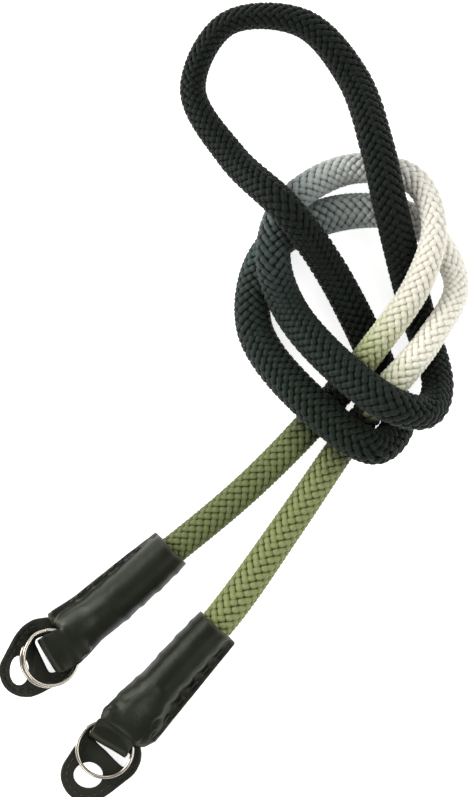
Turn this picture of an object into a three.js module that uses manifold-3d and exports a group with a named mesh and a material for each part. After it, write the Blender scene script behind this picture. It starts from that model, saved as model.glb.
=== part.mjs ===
// A neck strap made of one round braided rope. Each end of the rope is sewn into a leather sleeve,
// whose neck is folded over a split ring and over a leather guard that lies under the ring.
// Units are millimetres, +Z is up, and the strap lies on the plane z = 0.
// The origin is on that plane, under the middle of the two leather ends.

import * as THREE from 'three';
import { mergeVertices } from 'three/addons/utils/BufferGeometryUtils.js';
import Module from 'manifold-3d';

const wasm = await Module();
wasm.setup();

// Driving dimensions: the rope, the gap that parts two pieces, and the leather of the sleeves.
const ROPE_DIAMETER = 9.4;
const ROPE_SIDES = 10;
const STEPS_PER_STRETCH = 2;
const HOLLOW_SIDES = 16;
const GAP = 0.3;

const LEATHER = 1.3;
const NECK_TOP_RADIUS = 2.2;
const NECK_TOP_LAYER = 1.6;
const NECK_REACH = 12;
const NECK_CURVE_SEGMENTS = 6;
const RING_ROOM_SIDES = 40;
const ROOM_WIDTH = 40;

const GUARD_THICKNESS = 1.8;
const GUARD_BOTTOM = LEATHER + GAP;
const GUARD_TOP = GUARD_BOTTOM + GUARD_THICKNESS;
const SLOT_CORNER = 1.2;
const CUT_HEIGHT = 40;
const CUT_DROP = 5;
const CUT_CURVE_SEGMENTS = 18;

const RING_RADIUS = 8.85;
const WIRE = 1.1;
const COIL_PITCH = 1.2;
const COIL_STEP_DEGREES = 40;
const COIL_END_GAP_DEGREES = 4;

const ROPE_RADIUS = ROPE_DIAMETER / 2;
const FULL_TURN = 360;
const DEGREE = Math.PI / 180;

// The rope's route: x, y and the height of its underside above the table, from the left sleeve
// through the knot, round the bight and back through the knot to the right sleeve. A height below
// zero holds the rope flat on the table over a longer stretch.
const ROUTE = [
  [-2.7, 19.8, 1.8], [38.1, 53.1, 0.9], [60.9, 76.3, -0.9], [75.9, 94.8, 11.3],
  [90.0, 115.3, 12], [94.5, 132.6, 10.6], [88.2, 146.1, 3.3], [69.0, 149.1, 0],
  [50.1, 137.3, 8], [46.5, 122.7, 10.8], [50.8, 108.5, 5.6], [62.4, 93.6, 14.8],
  [81.0, 78.9, 22], [91.8, 76.6, 14.5], [95.7, 84.3, 5.5], [89.1, 108.3, -1.5],
  [81.6, 137.4, 11.8], [77.7, 155.1, 9.6], [70.2, 177.0, 0], [55.2, 193.0, 0],
  [32.7, 192.7, 0], [22.5, 173.4, 0], [34.2, 152.8, 7.4], [50.1, 137.1, 20.8],
  [64.8, 117.0, 4.8], [78.9, 88.5, -0.8], [84.0, 73.6, 1.2], [76.7, 66.1, 10.8],
  [60.6, 76.5, 10.9], [41.0, 101.5, -0.5], [44.4, 123.6, 0], [64.2, 135.6, 0],
  [88.8, 133.9, -0.6], [101.4, 115.5, 0.8], [93.0, 97.9, 11.6], [78.8, 81.0, 10.6],
  [70.2, 70.3, 0], [51.4, 42.9, 0.2], [31.6, 15.3, 1.6], [13.2, -4.8, 1.8],
];

// The two leather ends. Each has a frame of its own at the middle of its ring: local +X runs back
// towards the rope, and `turn` is that direction's angle on the table.
// mouth: middle of the sleeve's mouth. neck: where the sleeve's axis meets the neck.
// flangeSide: the side, left (1) or right (-1) of the way back, that shows the sewn flange.
// sections: along = distance from the mouth towards the neck, plain and flange = the two edges
// across, crest = middle of the bulge across, top = height, mid = height of the seam's plane.
// foldFront, foldCentre, foldWidth: front, middle and width of the neck's fold round the ring.
// neckHeight: top of the fold. ring: height of its middle, its tilt about a line in the table's
// plane, and its turn. guard: its middle and turn, its heel and tip, the round hole near the tip,
// the slot for the fold, and the bend that lifts the tip, about a line across its own turn.
const ENDS = {
  left: {
    place: [-20.36, 2.8],
    turn: 30.7,
    mouth: [48.2, 9.6],
    neck: [8, 0],
    flangeSide: 1,
    flangeThickness: 2.6,
    sections: [
      { along: 0, plain: -6.4, flange: 6.9, crest: 0.0, top: 13.0, mid: 5.2 },
      { along: 8, plain: -6.7, flange: 7.8, crest: 0.0, top: 13.1, mid: 5.1 },
      { along: 16, plain: -6.4, flange: 8.7, crest: 0.3, top: 13.1, mid: 5.0 },
      { along: 25, plain: -6.1, flange: 9.5, crest: 0.7, top: 12.9, mid: 4.9 },
      { along: 30, plain: -5.6, flange: 9.9, crest: 1.2, top: 12.0, mid: 4.6 },
      { along: 34, plain: -5.2, flange: 10.6, crest: 1.8, top: 11.0, mid: 4.4 },
      { along: 38, plain: -5.5, flange: 11.5, crest: 1.9, top: 10.2, mid: 4.2 },
      { along: 40.5, plain: -5.7, flange: 11.8, crest: 1.5, top: 9.9, mid: 4.1 },
      { along: 43.5, plain: -5.5, flange: 5.9, crest: 0.0, top: 9.6, mid: 3.8 },
    ],
    foldFront: -0.44,
    foldCentre: 1.2,
    foldWidth: 10.3,
    neckHeight: 9.7,
    ring: { height: 7.0, tilt: 15, tiltAxis: 49.3, turn: 118 },
    guard: {
      place: [-0.19, 2.03],
      turn: 192.8,
      heelRadius: 10.5,
      tipRadius: 8.1,
      tipDistance: 7.9,
      hole: { x: 9.4, y: -1.5, halfLength: 4.4, halfWidth: 2.8, turn: 46.5 },
      slot: { front: -2.0, back: 1.7, halfLength: 5.6, turn: -5.4 },
      bend: { turn: -48.5, start: 2.5, firstAngle: 32, tipAngle: 48 },
    },
  },
  right: {
    place: [-3.86, -24.65],
    turn: 53.3,
    mouth: [49.9, -4.2],
    neck: [8, 0],
    flangeSide: -1,
    flangeThickness: 2.4,
    sections: [
      { along: 0, plain: -6.1, flange: 8.2, crest: 0.3, top: 13.0, mid: 5.2 },
      { along: 8, plain: -6.4, flange: 8.7, crest: 0.2, top: 13.1, mid: 5.1 },
      { along: 16, plain: -6.5, flange: 9.2, crest: 0.2, top: 13.1, mid: 4.9 },
      { along: 25, plain: -6.5, flange: 9.7, crest: 0.2, top: 12.9, mid: 4.6 },
      { along: 30, plain: -7.1, flange: 10.0, crest: 0.5, top: 11.4, mid: 4.2 },
      { along: 34, plain: -7.4, flange: 10.3, crest: 0.9, top: 10.0, mid: 3.9 },
      { along: 38, plain: -7.6, flange: 10.5, crest: 1.1, top: 8.9, mid: 3.8 },
      { along: 41.5, plain: -7.7, flange: 9.2, crest: 0.5, top: 8.2, mid: 3.7 },
      { along: 44, plain: -6.9, flange: 6.3, crest: -0.5, top: 8.0, mid: 3.6 },
    ],
    foldFront: 1.46,
    foldCentre: -0.66,
    foldWidth: 12.4,
    neckHeight: 8.0,
    ring: { height: 4.85, tilt: 0, tiltAxis: 0, turn: 0 },
    guard: {
      place: [-0.21, -1.73],
      turn: 172.7,
      heelRadius: 9.75,
      tipRadius: 8.3,
      tipDistance: 9.0,
      hole: { x: 9.0, y: 0, halfLength: 4.35, halfWidth: 3.85, turn: -46 },
      slot: { front: -0.2, back: 3.9, halfLength: 7.6, turn: -7.3 },
      bend: { turn: 0, start: 11, firstAngle: 2, tipAngle: 6 },
    },
  },
};

const COLOURS = {
  rope: 0x6b7052,
  leather: 0x23241f,
  steel: 0xb9b4aa,
};

function material(colour, roughness, metalness) {
  return new THREE.MeshStandardMaterial({ color: colour, roughness, metalness });
}

// Booleans: a closed geometry becomes a solid, and a solid becomes a geometry again. Points nearer
// than this are one point.
const SAME_POINT = 1e-4;

function toSolid(geometry) {
  const bare = geometry.index ? geometry.toNonIndexed() : geometry.clone();
  bare.deleteAttribute('normal');
  bare.deleteAttribute('uv');
  const merged = mergeVertices(bare, SAME_POINT);
  return new wasm.Manifold(new wasm.Mesh({
    numProp: 3,
    vertProperties: new Float32Array(merged.attributes.position.array),
    triVerts: new Uint32Array(merged.index.array),
  }));
}

function toGeometry(solid) {
  const mesh = solid.getMesh();
  const indexed = new THREE.BufferGeometry();
  const positions = new Float32Array(mesh.vertProperties);
  indexed.setAttribute('position', new THREE.BufferAttribute(positions, 3));
  indexed.setIndex(new THREE.BufferAttribute(new Uint32Array(mesh.triVerts), 1));
  const geometry = indexed.toNonIndexed();
  geometry.computeVertexNormals();
  return geometry;
}

// A closed skin over rings of points of one count, each ring split into an upper and a lower half
// whose points pair up, so that each end is closed by a ladder between the halves.
function loft(rings) {
  const count = rings[0].length;
  const positions = rings.flat(2);
  const index = [];
  for (let r = 0; r < rings.length - 1; r += 1) {
    for (let k = 0; k < count; k += 1) {
      const a = r * count + k;
      const b = r * count + ((k + 1) % count);
      index.push(a, b, a + count, b, b + count, a + count);
    }
  }
  const last = (rings.length - 1) * count;
  for (let k = 0; k < count / 2 - 1; k += 1) {
    const m = count - 1 - k;
    index.push(k, m, k + 1, m, m - 1, k + 1);
    index.push(last + k, last + k + 1, last + m, last + m, last + k + 1, last + m - 1);
  }
  const geometry = new THREE.BufferGeometry();
  geometry.setAttribute('position', new THREE.Float32BufferAttribute(positions, 3));
  geometry.setIndex(index);
  return geometry;
}

// Rope: the curve through the route, from one fraction of it to another. Its steps are spaced by
// the route's points, which lie closer where the rope bends.
class RopePath extends THREE.Curve {
  constructor(start = 0, end = 1) {
    super();
    this.start = start;
    this.end = end;
    const points = ROUTE.map(([x, y, lift]) => new THREE.Vector3(x, y, lift + ROPE_RADIUS));
    this.spline = new THREE.CatmullRomCurve3(points, false, 'centripetal');
  }

  getPoint(t, target = new THREE.Vector3()) {
    this.spline.getPoint(this.start + (this.end - this.start) * t, target);
    target.z = Math.max(target.z, ROPE_RADIUS);
    return target;
  }

  getPointAt(u, target) {
    return this.getPoint(u, target);
  }

  getTangentAt(u, target) {
    return this.getTangent(u, target);
  }
}

function circle(radius, sides) {
  const points = [];
  for (let k = 0; k < sides; k += 1) {
    const angle = (2 * Math.PI * k) / sides;
    points.push(new THREE.Vector2(radius * Math.cos(angle), radius * Math.sin(angle)));
  }
  return new THREE.Shape(points);
}

const ROPE_STEPS = (ROUTE.length - 1) * STEPS_PER_STRETCH;

// The rope stops a hair short of its hollow's ends, as this fraction of the whole route.
const ROPE_END = 0.0006;

function ropeGeometry() {
  const path = new RopePath(ROPE_END, 1 - ROPE_END);
  return new THREE.ExtrudeGeometry(circle(ROPE_RADIUS, ROPE_SIDES), {
    steps: ROPE_STEPS,
    extrudePath: path,
  });
}

// The hollow that one end of the rope fills: the rope's own first or last stretch, a gap wider.
function ropeHollow(side) {
  const stretch = 1 / (ROUTE.length - 1);
  const path = side === 'left' ? new RopePath(0, stretch) : new RopePath(1 - stretch, 1);
  const wide = circle((ROPE_RADIUS + GAP) / Math.cos(Math.PI / HOLLOW_SIDES), HOLLOW_SIDES);
  return new THREE.ExtrudeGeometry(wide, { steps: STEPS_PER_STRETCH, extrudePath: path });
}

// Sleeve: two halves of leather meet in a seam plane. Across it, the height above that plane is an
// ellipse over the rope that runs softly into the flat flange.
const ARCH_STEPS = 14;
const FLANGE_STEPS = 3;

function softMax(a, b) {
  return (a ** 4 + b ** 4) ** 0.25;
}

function sectionAcross(section) {
  const half = section.crest - section.plain;
  const across = [];
  for (let k = 0; k <= ARCH_STEPS; k += 1) {
    const angle = (Math.PI * k) / ARCH_STEPS;
    across.push({ w: section.crest - half * Math.cos(angle), arch: Math.sin(angle) });
  }
  const archEdge = section.crest + half;
  for (let k = 1; k <= FLANGE_STEPS; k += 1) {
    across.push({ w: archEdge + ((section.flange - archEdge) * k) / FLANGE_STEPS, arch: 0 });
  }
  return across;
}

function sleeveBody(end) {
  const mouth = new THREE.Vector2(...end.mouth);
  const axis = new THREE.Vector2(...end.neck).sub(mouth).normalize();
  const left = new THREE.Vector2(axis.y, -axis.x);
  const halfFlange = end.flangeThickness / 2;
  const rings = end.sections.map((section) => {
    const place = (w, z) => [
      mouth.x + axis.x * section.along + left.x * w * end.flangeSide,
      mouth.y + axis.y * section.along + left.y * w * end.flangeSide,
      Math.max(z, 0),
    ];
    const across = sectionAcross(section);
    const upper = across.map(({ w, arch }) =>
      place(w, section.mid + softMax(halfFlange, (section.top - section.mid) * arch)));
    const lower = across.map(({ w, arch }) =>
      place(w, section.mid - softMax(halfFlange, section.mid * arch)));
    return [...upper, ...lower.reverse()];
  });
  if (end.flangeSide < 0) {
    rings.forEach((ring) => ring.reverse());
  }
  return loft(rings);
}

// Neck: a block with a rolled front, which is the fold once the guard's and the ring's rooms are cut.
function neckBlock(end) {
  const front = end.foldFront;
  const shape = new THREE.Shape();
  shape.moveTo(NECK_REACH, 0);
  shape.lineTo(NECK_REACH, end.neckHeight);
  shape.lineTo(front + NECK_TOP_RADIUS, end.neckHeight);
  shape.absarc(front + NECK_TOP_RADIUS, end.neckHeight - NECK_TOP_RADIUS, NECK_TOP_RADIUS,
    Math.PI / 2, Math.PI, false);
  shape.absarc(front + LEATHER, LEATHER, LEATHER, Math.PI, 1.5 * Math.PI, false);
  const block = new THREE.ExtrudeGeometry(shape, {
    depth: end.foldWidth,
    bevelEnabled: false,
    curveSegments: NECK_CURVE_SEGMENTS,
  });
  block.rotateX(Math.PI / 2);
  block.translate(0, end.foldWidth / 2 + end.foldCentre, 0);
  return block;
}

function roomBox(fromX, toX, fromZ, toZ) {
  const box = new THREE.BoxGeometry(toX - fromX, ROOM_WIDTH, toZ - fromZ);
  box.translate((fromX + toX) / 2, 0, (fromZ + toZ) / 2);
  return box;
}

function sleeveGeometry(side, end, frame) {
  const inner = end.foldFront + LEATHER;
  const guardRear = end.guard.heelRadius + end.guard.place[0] + GAP;
  const ringRoomTop = end.neckHeight - NECK_TOP_LAYER;
  const guardRoom = toSolid(roomBox(inner, guardRear, LEATHER, GUARD_TOP + GAP));
  const roomRadius = RING_RADIUS + GAP;
  const roomHeight = ringRoomTop - GUARD_TOP;
  const ringRoom = new THREE.CylinderGeometry(roomRadius, roomRadius, roomHeight, RING_ROOM_SIDES);
  ringRoom.rotateX(Math.PI / 2);
  ringRoom.translate(0, 0, (ringRoomTop + GUARD_TOP) / 2);
  const behindFold = toSolid(roomBox(inner, NECK_REACH, 0, 2 * end.neckHeight));
  const hollow = ropeHollow(side);
  hollow.applyMatrix4(frame.matrixWorld.clone().invert());
  return toGeometry(
    toSolid(sleeveBody(end))
      .add(toSolid(neckBlock(end)))
      .subtract(guardRoom)
      .subtract(toSolid(ringRoom).intersect(behindFold))
      .subtract(toSolid(hollow)),
  );
}

// Split ring: one wire of nearly two turns, which steps up from the lower coil to the upper one.
const WIRE_SIDES = 8;
const WIRE_STEP_DEGREES = 10;

function ringGeometry() {
  const length = 2 * FULL_TURN - COIL_STEP_DEGREES - 2 * COIL_END_GAP_DEGREES;
  const steps = Math.ceil(length / WIRE_STEP_DEGREES);
  const middle = RING_RADIUS - WIRE / 2;
  const rings = [];
  for (let s = 0; s <= steps; s += 1) {
    const degrees = COIL_END_GAP_DEGREES + (length * s) / steps;
    const climb = THREE.MathUtils.smoothstep(degrees, FULL_TURN - COIL_STEP_DEGREES, FULL_TURN);
    const height = COIL_PITCH * (climb - 0.5);
    const ring = [];
    for (let k = 0; k < WIRE_SIDES; k += 1) {
      const around = (2 * Math.PI * (k + 0.5)) / WIRE_SIDES;
      const radius = middle + (WIRE / 2) * Math.cos(around);
      const z = height + (WIRE / 2) * Math.sin(around);
      ring.push([radius * Math.cos(degrees * DEGREE), radius * Math.sin(degrees * DEGREE), z]);
    }
    rings.push(ring.reverse());
  }
  return loft(rings);
}

// Guard: a strip of leather that bends up towards its tip, or to one side of it by the bend's turn,
// cut to its outline as seen from above: a wide round heel and a narrower round tip with straight
// sides between them.
function guardOutline(guard) {
  const lean = Math.acos((guard.heelRadius - guard.tipRadius) / guard.tipDistance);
  const shape = new THREE.Shape();
  shape.absarc(0, 0, guard.heelRadius, lean, 2 * Math.PI - lean, false);
  shape.absarc(guard.tipDistance, 0, guard.tipRadius, -lean, lean, false);
  return shape;
}

function upright(shape) {
  const prism = new THREE.ExtrudeGeometry(shape, {
    depth: CUT_HEIGHT,
    bevelEnabled: false,
    curveSegments: CUT_CURVE_SEGMENTS,
  });
  prism.translate(0, 0, -CUT_DROP);
  return prism;
}

const BEND_LENGTH = 1.5;
const BEND_STRIDE = 0.75;
const SPARE = 1;

function guardStrip(guard) {
  const { bend } = guard;
  const reach = guard.tipDistance + guard.tipRadius + SPARE;
  const angleAt = (x) => {
    const started = THREE.MathUtils.clamp((x - bend.start) / BEND_LENGTH, 0, 1);
    const onwards = THREE.MathUtils.clamp((x - bend.start) / (reach - bend.start), 0, 1);
    return (bend.firstAngle * started + (bend.tipAngle - bend.firstAngle) * onwards) * DEGREE;
  };
  const rear = -guard.heelRadius - SPARE;
  const lower = [new THREE.Vector2(rear, GUARD_BOTTOM)];
  const upper = [new THREE.Vector2(rear, GUARD_TOP)];
  let x = bend.start;
  let z = GUARD_BOTTOM;
  while (x < reach) {
    const angle = angleAt(x);
    lower.push(new THREE.Vector2(x, z));
    upper.push(new THREE.Vector2(
      x - GUARD_THICKNESS * Math.sin(angle),
      z + GUARD_THICKNESS * Math.cos(angle),
    ));
    x += BEND_STRIDE * Math.cos(angle);
    z += BEND_STRIDE * Math.sin(angle);
  }
  const shape = new THREE.Shape([...lower, ...upper.reverse()]);
  const strip = new THREE.ExtrudeGeometry(shape, { depth: 2 * reach, bevelEnabled: false });
  strip.rotateX(Math.PI / 2);
  strip.translate(0, reach, 0);
  strip.rotateZ(bend.turn * DEGREE);
  return strip;
}

function roundedBox(fromX, toX, halfLength, radius) {
  const shape = new THREE.Shape();
  shape.absarc(toX - radius, halfLength - radius, radius, 0, Math.PI / 2, false);
  shape.absarc(fromX + radius, halfLength - radius, radius, Math.PI / 2, Math.PI, false);
  shape.absarc(fromX + radius, radius - halfLength, radius, Math.PI, 1.5 * Math.PI, false);
  shape.absarc(toX - radius, radius - halfLength, radius, 1.5 * Math.PI, 2 * Math.PI, false);
  return shape;
}

function guardGeometry(end) {
  const { guard } = end;
  const hole = new THREE.Shape();
  hole.absellipse(guard.hole.x, guard.hole.y, guard.hole.halfLength, guard.hole.halfWidth,
    0, 2 * Math.PI, false, guard.hole.turn * DEGREE);
  const { front, back, halfLength, turn } = guard.slot;
  const slot = upright(roundedBox(front, back, halfLength, SLOT_CORNER));
  slot.rotateZ(turn * DEGREE);
  slot.translate(-guard.place[0], end.foldCentre - guard.place[1], 0);
  slot.rotateZ(-guard.turn * DEGREE);
  return toGeometry(
    toSolid(guardStrip(guard))
      .intersect(toSolid(upright(guardOutline(guard))))
      .subtract(toSolid(upright(hole)))
      .subtract(toSolid(slot)),
  );
}

function addEnd(group, side, end) {
  const frame = new THREE.Group();
  frame.position.set(end.place[0], end.place[1], 0);
  frame.rotation.z = end.turn * DEGREE;
  frame.updateMatrixWorld(true);
  group.add(frame);

  const sleeve = new THREE.Mesh(sleeveGeometry(side, end, frame), material(COLOURS.leather, 0.5, 0));
  sleeve.name = `sleeve_${side}`;
  frame.add(sleeve);

  const ring = new THREE.Mesh(ringGeometry(), material(COLOURS.steel, 0.25, 1));
  ring.name = `ring_${side}`;
  const tilted = new THREE.Group();
  const tiltAxis = end.ring.tiltAxis * DEGREE;
  tilted.position.z = end.ring.height;
  tilted.quaternion.setFromAxisAngle(
    new THREE.Vector3(Math.cos(tiltAxis), Math.sin(tiltAxis), 0), end.ring.tilt * DEGREE);
  ring.rotation.z = end.ring.turn * DEGREE;
  tilted.add(ring);
  frame.add(tilted);

  const guard = new THREE.Mesh(guardGeometry(end), material(COLOURS.leather, 0.6, 0));
  guard.name = `guard_${side}`;
  guard.position.set(end.guard.place[0], end.guard.place[1], 0);
  guard.rotation.z = end.guard.turn * DEGREE;
  frame.add(guard);
}

const group = new THREE.Group();
const rope = new THREE.Mesh(ropeGeometry(), material(COLOURS.rope, 0.9, 0));
rope.name = 'rope';
group.add(rope);
Object.entries(ENDS).forEach(([side, end]) => addEnd(group, side, end));

export default group;
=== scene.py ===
# A rope camera strap: one braided rope, dyed from green over cream to black, laid in a loose knot,
# with a sewn leather sleeve, a split ring and a leather guard at each end. It lies on a pale table.
import bmesh
import bpy
import numpy as np
from mathutils.bvhtree import BVHTree
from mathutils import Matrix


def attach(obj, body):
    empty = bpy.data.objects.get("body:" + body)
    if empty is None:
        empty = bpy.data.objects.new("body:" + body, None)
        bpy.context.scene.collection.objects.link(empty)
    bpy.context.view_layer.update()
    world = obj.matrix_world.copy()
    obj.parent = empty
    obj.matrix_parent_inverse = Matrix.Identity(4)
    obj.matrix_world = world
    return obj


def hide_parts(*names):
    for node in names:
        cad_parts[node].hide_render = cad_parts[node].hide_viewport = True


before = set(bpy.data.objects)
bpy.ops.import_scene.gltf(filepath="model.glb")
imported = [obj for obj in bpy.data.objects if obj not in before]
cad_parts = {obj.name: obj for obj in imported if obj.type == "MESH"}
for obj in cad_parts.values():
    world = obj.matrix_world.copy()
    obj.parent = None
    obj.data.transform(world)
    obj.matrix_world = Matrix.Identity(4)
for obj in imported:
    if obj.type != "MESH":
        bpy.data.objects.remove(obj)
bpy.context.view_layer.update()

# Camera: straight above the table and far off with a long lens, with the rope's bight at the top
# of the picture. One pixel of the picture is 0.30 mm on the table.
MM = 0.001
PIXEL = 0.30 * MM
IMAGE_HEIGHT = 797
VIEW_CENTRE = (34.84 * MM, 80.5 * MM)
CAMERA_HEIGHT = 2.7
SENSOR_HEIGHT = 24.0

camera_data = bpy.data.cameras.new("camera")
camera_data.sensor_fit = "VERTICAL"
camera_data.sensor_height = SENSOR_HEIGHT
camera_data.lens = SENSOR_HEIGHT * CAMERA_HEIGHT / (IMAGE_HEIGHT * PIXEL)
camera = bpy.data.objects.new("camera", camera_data)
camera.location = (*VIEW_CENTRE, CAMERA_HEIGHT)
bpy.context.scene.collection.objects.link(camera)
bpy.context.scene.camera = camera


# Rope: a soft round braid of eighteen fat polyester yarns over a core, 0.94 m long and 8 to 12 mm
# wide as it lies. Nine yarns wind to the left and nine to the right, each over three and under
# three. It was dyed by dipping, so it turns from green over cream and grey to black and back. Two
# short near-black stretches in the green are painted shade, where it lies under its own strands.

# Each row is x, y, height of the underside and seen width, in mm, from the left end of the rope to
# its right end.
ROUTE = [
    (-2.7, 19.8, 1.8, 9.4), (38.1, 53.1, 0.9, 9.6), (60.9, 76.3, -0.9, 9.9),
    (75.9, 94.8, 11.3, 9.3), (90.0, 115.3, 12, 9.3), (94.5, 132.6, 10.6, 8.4),
    (88.2, 146.1, 3.3, 9.2), (69.0, 149.1, 0, 9.9), (50.1, 137.3, 8, 10.2),
    (46.5, 122.7, 10.8, 11.1), (50.8, 108.5, 5.6, 11.3), (62.4, 93.6, 14.8, 11.6),
    (81.0, 78.9, 22, 11.7), (91.8, 76.6, 14.5, 11.0), (95.7, 84.3, 5.5, 10.3),
    (89.1, 108.3, -1.5, 11.1), (81.6, 137.4, 11.8, 11.1), (77.7, 155.1, 9.6, 11.1),
    (70.2, 177.0, 0, 10.6), (55.2, 193.0, 0, 9.4), (32.7, 192.7, 0, 8.1),
    (22.5, 173.4, 0, 8.4), (34.2, 152.8, 7.4, 9.7), (50.1, 137.1, 20.8, 10.6),
    (64.8, 117.0, 4.8, 10.8), (78.9, 88.5, -0.8, 11.1), (84.0, 73.6, 1.2, 10.8),
    (76.7, 66.1, 10.8, 11.4), (60.6, 76.5, 10.9, 12.1), (41.0, 101.5, -0.5, 11.6),
    (44.4, 123.6, 0, 10.8), (64.2, 135.6, 0, 11.7), (88.8, 133.9, -0.6, 9.9),
    (101.4, 115.5, 0.8, 8.4), (93.0, 97.9, 11.6, 9.0), (78.8, 81.0, 10.6, 10.2),
    (70.2, 70.3, 0, 9.5), (51.4, 42.9, 0.2, 10.2), (31.6, 15.3, 1.6, 10.9),
    (13.2, -4.8, 1.8, 9.4),
]
ROUTE_STEPS = 60
HALF_HEIGHT = 4.7 * MM

# The core fills this share of the rope's section. Only its dark, which is painted shade, shows in
# the pits of the braid.
CORE_SCALE = 0.72
CORE_STEP = 1.1 * MM
CORE_SIDES = 20

# The yarns begin and end out of sight, inside the sleeves.
YARN_START = 17 * MM
YARN_STOP = 927 * MM
YARN_STEP = 0.3 * MM
YARN_SIDES = 7
YARN_THICKNESS = 1.5 * MM
YARN_FULLNESS = 1.13
YARNS_EACH_WAY = 9

# The weave, with its angles round the rope from the top. A yarn rises and dips three times a turn.
# Its width shrinks by the pinches, where it passes from high to low and where it is creased.
WAVES_PER_TURN = 3
WEAVE_DEPTH = 0.45 * MM
WEAVE_SHARPNESS = 2.3
FLOAT_CENTRE = np.radians(-40)
CROSSING_PINCH = 0.12

# The crease that each float shows, and the fainter one that follows it.
CREASE_BEFORE_CENTRE = np.radians(10)
CREASE_DEPTH = 0.85 * MM
CREASE_WIDTH = np.radians(4.6)
CREASE_PINCH = 0.16
FAINT_CREASE = 0.6
FAINT_CREASE_AFTER = np.radians(20)

# Rows of place in the route and lay, the length of rope in mm that a yarn takes for one turn.
LAYS = [(0, 26.8), (5, 27.3), (8, 25.2), (12, 23.8), (30, 23.8), (33, 25.6), (37, 27.0)]

# How far along the rope each hue sits, in steps of the route. The near-black stretches from 1.9 to
# 2.5 and from 35.35 to 36.15 are painted shade, where the rope lies under the strands crossing it.
DYES_AND_SHADE = [
    (0.0, "#5f673f"), (1.6, "#656d45"), (1.9, "#15170f"), (2.5, "#15170f"),
    (2.8, "#868c5e"), (3.05, "#a6aa82"), (3.3, "#c6c6ab"), (3.7, "#d6d3c5"), (4.6, "#dfdbd0"),
    (5.8, "#dad7ce"), (6.4, "#cfcfc8"), (7.2, "#b6bab5"), (7.8, "#7b8280"), (8.6, "#343d3a"),
    (10.0, "#18201d"), (12.0, "#131915"), (14.0, "#0e120d"), (15.5, "#080b08"),
    (26.0, "#080c09"), (28.0, "#131a14"), (29.4, "#1e2723"), (30.2, "#46524e"),
    (31.0, "#7c8381"), (31.7, "#b2b5b0"), (32.3, "#e2dfd6"), (34.3, "#e4e1d4"),
    (34.8, "#c9cbae"), (35.1, "#8d9365"), (35.35, "#0d0e0a"), (36.15, "#0d0e0a"),
    (36.45, "#7e8457"), (39.0, "#828859"),
]


def smooth_route(rows, steps):
    """The route's points and widths on one smooth curve.

    Between two rows it is the cubic whose slopes follow from the chord to each neighbour, timed by
    the square root of the distance between the points; heights below the table are lifted to it.
    """
    knots = np.array(rows, float)
    knots = np.vstack([2 * knots[0] - knots[1], knots, 2 * knots[-1] - knots[-2]])
    gaps = np.linalg.norm(np.diff(knots[:, :3], axis=0), axis=1) ** 0.5
    before, here, after, beyond = knots[:-3], knots[1:-2], knots[2:-1], knots[3:]
    g0, g1, g2 = gaps[:-2, None], gaps[1:-1, None], gaps[2:, None]
    leave = ((here - before) / g0 - (after - before) / (g0 + g1) + (after - here) / g1) * g1
    reach = ((after - here) / g1 - (beyond - here) / (g1 + g2) + (beyond - after) / g2) * g1
    t = np.linspace(0, 1, steps, endpoint=False)[None, :, None]
    curve = (
        here[:, None] * (2 * t**3 - 3 * t**2 + 1) + after[:, None] * (3 * t**2 - 2 * t**3)
        + leave[:, None] * (t**3 - 2 * t**2 + t) + reach[:, None] * (t**3 - t**2)
    ).reshape(-1, knots.shape[1])
    curve = np.vstack([curve, knots[-2]])
    index = np.append(np.arange(len(curve) - 1) / steps, len(rows) - 1)
    centre = curve[:, :3] * MM
    centre[:, 2] = np.maximum(centre[:, 2] + HALF_HEIGHT, HALF_HEIGHT)
    return centre, curve[:, 3] * MM, index


def rope_line(step):
    """The rope's frame every `step`: centre, sideways and upward directions, half width, arc
    length and place in the route. Sideways is the table's up crossed with the direction of travel.
    """
    centre, width, index = smooth_route(ROUTE, ROUTE_STEPS)
    arc = np.append(0, np.cumsum(np.linalg.norm(np.diff(centre, axis=0), axis=1)))
    at = np.arange(0, arc[-1], step)
    columns = np.column_stack([centre, width / 2, index])
    line = np.column_stack([np.interp(at, arc, column) for column in columns.T])
    travel = np.gradient(line[:, :3], axis=0)
    travel /= np.linalg.norm(travel, axis=1, keepdims=True)
    side = np.cross([0, 0, 1], travel)
    side /= np.linalg.norm(side, axis=1, keepdims=True)
    return line[:, :3], side, np.cross(travel, side), line[:, 3], at, line[:, 4]


def tube_faces(rings, sides):
    """Quads between each ring of points and the next, and one flat face over each end."""
    ring = np.arange(rings - 1)[:, None] * sides
    corner = np.arange(sides)
    onward = (corner + 1) % sides
    quads = np.stack([ring + corner, ring + onward, ring + onward + sides,
                      ring + corner + sides], axis=-1)
    caps = [list(range(sides))[::-1], list(range((rings - 1) * sides, rings * sides))]
    return quads.reshape(-1, 4).tolist() + caps


def strap_piece(name, points, faces, values):
    """A smooth mesh object of the points and faces, with the named numbers kept at its points."""
    mesh = bpy.data.meshes.new(name)
    mesh.from_pydata(points.tolist(), [], faces)
    mesh.polygons.foreach_set("use_smooth", np.ones(len(mesh.polygons), dtype=bool))
    for label, numbers in values.items():
        mesh.attributes.new(label, "FLOAT", "POINT").data.foreach_set(
            "value", np.ascontiguousarray(numbers, dtype=np.float32).ravel())
    mesh.update()
    piece = bpy.data.objects.new(name, mesh)
    bpy.context.scene.collection.objects.link(piece)
    return piece


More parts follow.
